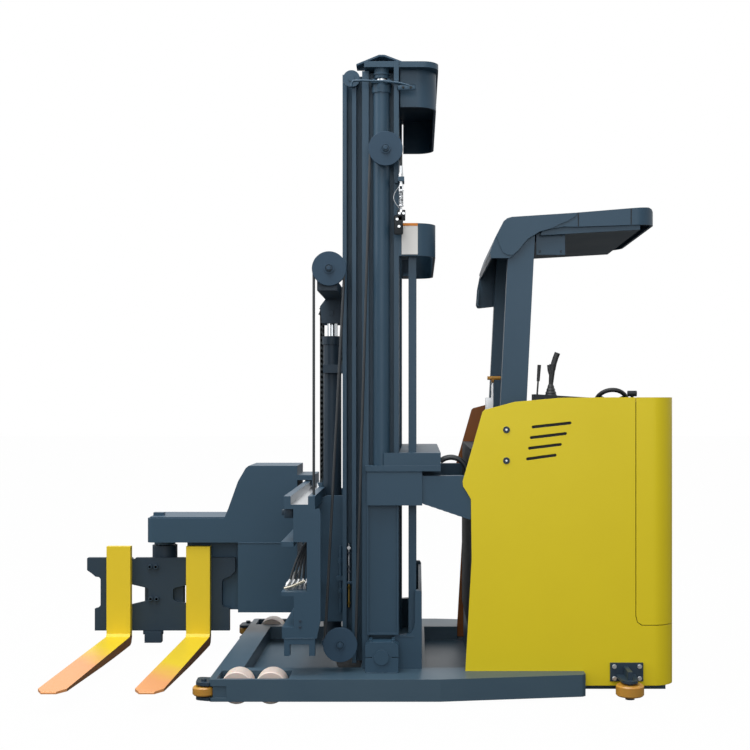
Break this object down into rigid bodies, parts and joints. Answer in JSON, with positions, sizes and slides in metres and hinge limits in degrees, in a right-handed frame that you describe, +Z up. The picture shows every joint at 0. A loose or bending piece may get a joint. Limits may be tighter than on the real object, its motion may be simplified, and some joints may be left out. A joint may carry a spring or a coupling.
{
  "type": "three-way forklift stacker",
  "caption": "Forklift stacker with a staged mast, a traverse frame, a swing head with two forks, low side frames, a yellow body and an overhead guard.",
  "frame": {"origin": "on the floor, under the middle of the box around the whole truck at rest", "axes": "+X towards the rear of the truck, forks towards -X at its front; +Y to the far side of the picture, where the operator steps in; +Z up"},
  "size_m": [2.866, 1.665, 2.874],
  "materials": {
    "grey_paint": "satin",
    "dark_paint": "satin",
    "yellow_paint": "satin",
    "amber_poly": "gloss",
    "cream_poly": "satin",
    "black_rubber": "matt",
    "bright_steel": "bright"
  },
  "bodies": {
    "chassis": {"base_frame": "grey_paint", "floor_tray": "grey_paint", "mast_feet": "grey_paint", "mast_outer": "grey_paint", "mast_brace": "grey_paint", "lift_cylinders": "grey_paint", "body_left": "yellow_paint", "body_right": "yellow_paint", "cabin_tub": "dark_paint", "battery_case": "dark_paint", "console": "dark_paint", "controls": "black_rubber", "guard_posts": "grey_paint", "guard_roof": "grey_paint", "guide_brackets": "dark_paint", "hose_run_top": "black_rubber", "brace_hoses": "black_rubber"},
    "rear_door": {"rear_door": "yellow_paint"},
    "drive_unit": {"drive_unit": "dark_paint"},
    "drive_wheel": {"drive_wheel": "cream_poly"},
    "mast_middle": {"mast_middle": "grey_paint", "piston_rods": "bright_steel", "hose_run_up": "black_rubber"},
    "mast_inner": {"mast_inner": "grey_paint", "free_lift_cyl": "dark_paint", "hose_run_mid": "black_rubber", "anchor_chains": "black_rubber"},
    "crosshead": {"crosshead": "dark_paint", "hose_run_head": "black_rubber", "lift_chains": "black_rubber"},
    "carriage": {"carriage": "grey_paint"},
    "swing_head": {"swing_head": "grey_paint"},
    "fork_carriage": {"fork_plate": "dark_paint", "forks": "yellow_paint"},
    "disc_top": {"hose_disc_top": "dark_paint"},
    "disc_low": {"hose_disc_low": "dark_paint"},
    "disc_head": {"hose_disc_head": "dark_paint"},
    "load_wheel_1": {"load_wheel_1": "cream_poly"},
    "guide_roller_1": {"guide_roller_1": "amber_poly"},
    "load_wheel_2": {"load_wheel_2": "cream_poly"},
    "guide_roller_2": {"guide_roller_2": "amber_poly"},
    "load_wheel_3": {"load_wheel_3": "cream_poly"},
    "guide_roller_3": {"guide_roller_3": "amber_poly"},
    "load_wheel_4": {"load_wheel_4": "cream_poly"},
    "guide_roller_4": {"guide_roller_4": "amber_poly"}
  },
  "joints": [
    {"name": "middle_lift", "type": "slide", "parent": "chassis", "child": "mast_middle", "axis": [0, 0, 1], "range_m": [0, 1.6], "deforming": ["hose_run_top"]},
    {"name": "inner_lift", "type": "slide", "parent": "mast_middle", "child": "mast_inner", "axis": [0, 0, 1], "range_m": [0, 1.6], "deforming": ["hose_run_up"]},
    {"name": "carriage_lift", "type": "slide", "parent": "crosshead", "child": "carriage", "axis": [0, 0, 1], "range_m": [0, 0.7], "deforming": ["lift_chains", "hose_run_head"]},
    {"name": "crosshead_lift", "type": "slide", "parent": "mast_inner", "child": "crosshead", "axis": [0, 0, 1], "range_m": [0, 0.7], "deforming": ["hose_run_mid", "anchor_chains"]},
    {"name": "head_traverse", "type": "slide", "parent": "carriage", "child": "swing_head", "axis": [0, 1, 0], "range_m": [-0.96, 0]},
    {"name": "fork_turn", "type": "hinge", "parent": "swing_head", "child": "fork_carriage", "pos_m": [-1.048, 0.5475, 0.5], "axis": [0, 0, 1], "range_deg": [-180, 0]},
    {"name": "steer", "type": "hinge", "parent": "chassis", "child": "drive_unit", "pos_m": [1.13, 0.0675, 0.28], "axis": [0, 0, 1], "range_deg": [-90, 90]},
    {"name": "drive_roll", "type": "hinge", "parent": "drive_unit", "child": "drive_wheel", "pos_m": [1.13, 0.0675, 0.125], "axis": [0, 1, 0], "continuous": true},
    {"name": "door_swing", "type": "hinge", "parent": "chassis", "child": "rear_door", "pos_m": [1.262, 0.6665, 0.8], "axis": [0, 0, 1], "range_deg": [0, 100]},
    {"name": "load_roll_1", "type": "hinge", "parent": "chassis", "child": "load_wheel_1", "pos_m": [-0.5, -0.588, 0.07], "axis": [0, 1, 0], "continuous": true},
    {"name": "load_roll_2", "type": "hinge", "parent": "chassis", "child": "load_wheel_2", "pos_m": [-0.352, -0.588, 0.07], "axis": [0, 1, 0], "continuous": true},
    {"name": "load_roll_3", "type": "hinge", "parent": "chassis", "child": "load_wheel_3", "pos_m": [-0.5, 0.723, 0.07], "axis": [0, 1, 0], "continuous": true},
    {"name": "load_roll_4", "type": "hinge", "parent": "chassis", "child": "load_wheel_4", "pos_m": [-0.352, 0.723, 0.07], "axis": [0, 1, 0], "continuous": true},
    {"name": "guide_turn_1", "type": "hinge", "parent": "chassis", "child": "guide_roller_1", "pos_m": [-0.64, -0.6495, 0.062], "axis": [0, 0, 1], "continuous": true},
    {"name": "guide_turn_2", "type": "hinge", "parent": "chassis", "child": "guide_roller_2", "pos_m": [-0.64, 0.7845, 0.062], "axis": [0, 0, 1], "continuous": true},
    {"name": "guide_turn_3", "type": "hinge", "parent": "chassis", "child": "guide_roller_3", "pos_m": [1.208, -0.6365, 0.06], "axis": [0, 0, 1], "continuous": true},
    {"name": "guide_turn_4", "type": "hinge", "parent": "chassis", "child": "guide_roller_4", "pos_m": [1.208, 0.7715, 0.06], "axis": [0, 0, 1], "continuous": true},
    {"name": "disc_top_turn", "type": "hinge", "parent": "mast_middle", "child": "disc_top", "pos_m": [0.145, -0.5345, 2.43], "axis": [0, 1, 0], "continuous": true},
    {"name": "disc_low_turn", "type": "hinge", "parent": "mast_inner", "child": "disc_low", "pos_m": [-0.056, -0.5345, 0.237], "axis": [0, 1, 0], "continuous": true},
    {"name": "disc_head_turn", "type": "hinge", "parent": "crosshead", "child": "disc_head", "pos_m": [-0.105, -0.5345, 1.9], "axis": [0, 1, 0], "continuous": true}
  ],
  "couplings": [
    {"joint": "inner_lift", "follows": "middle_lift", "ratio": 1},
    {"joint": "crosshead_lift", "follows": "carriage_lift", "ratio": 1}
  ]
}
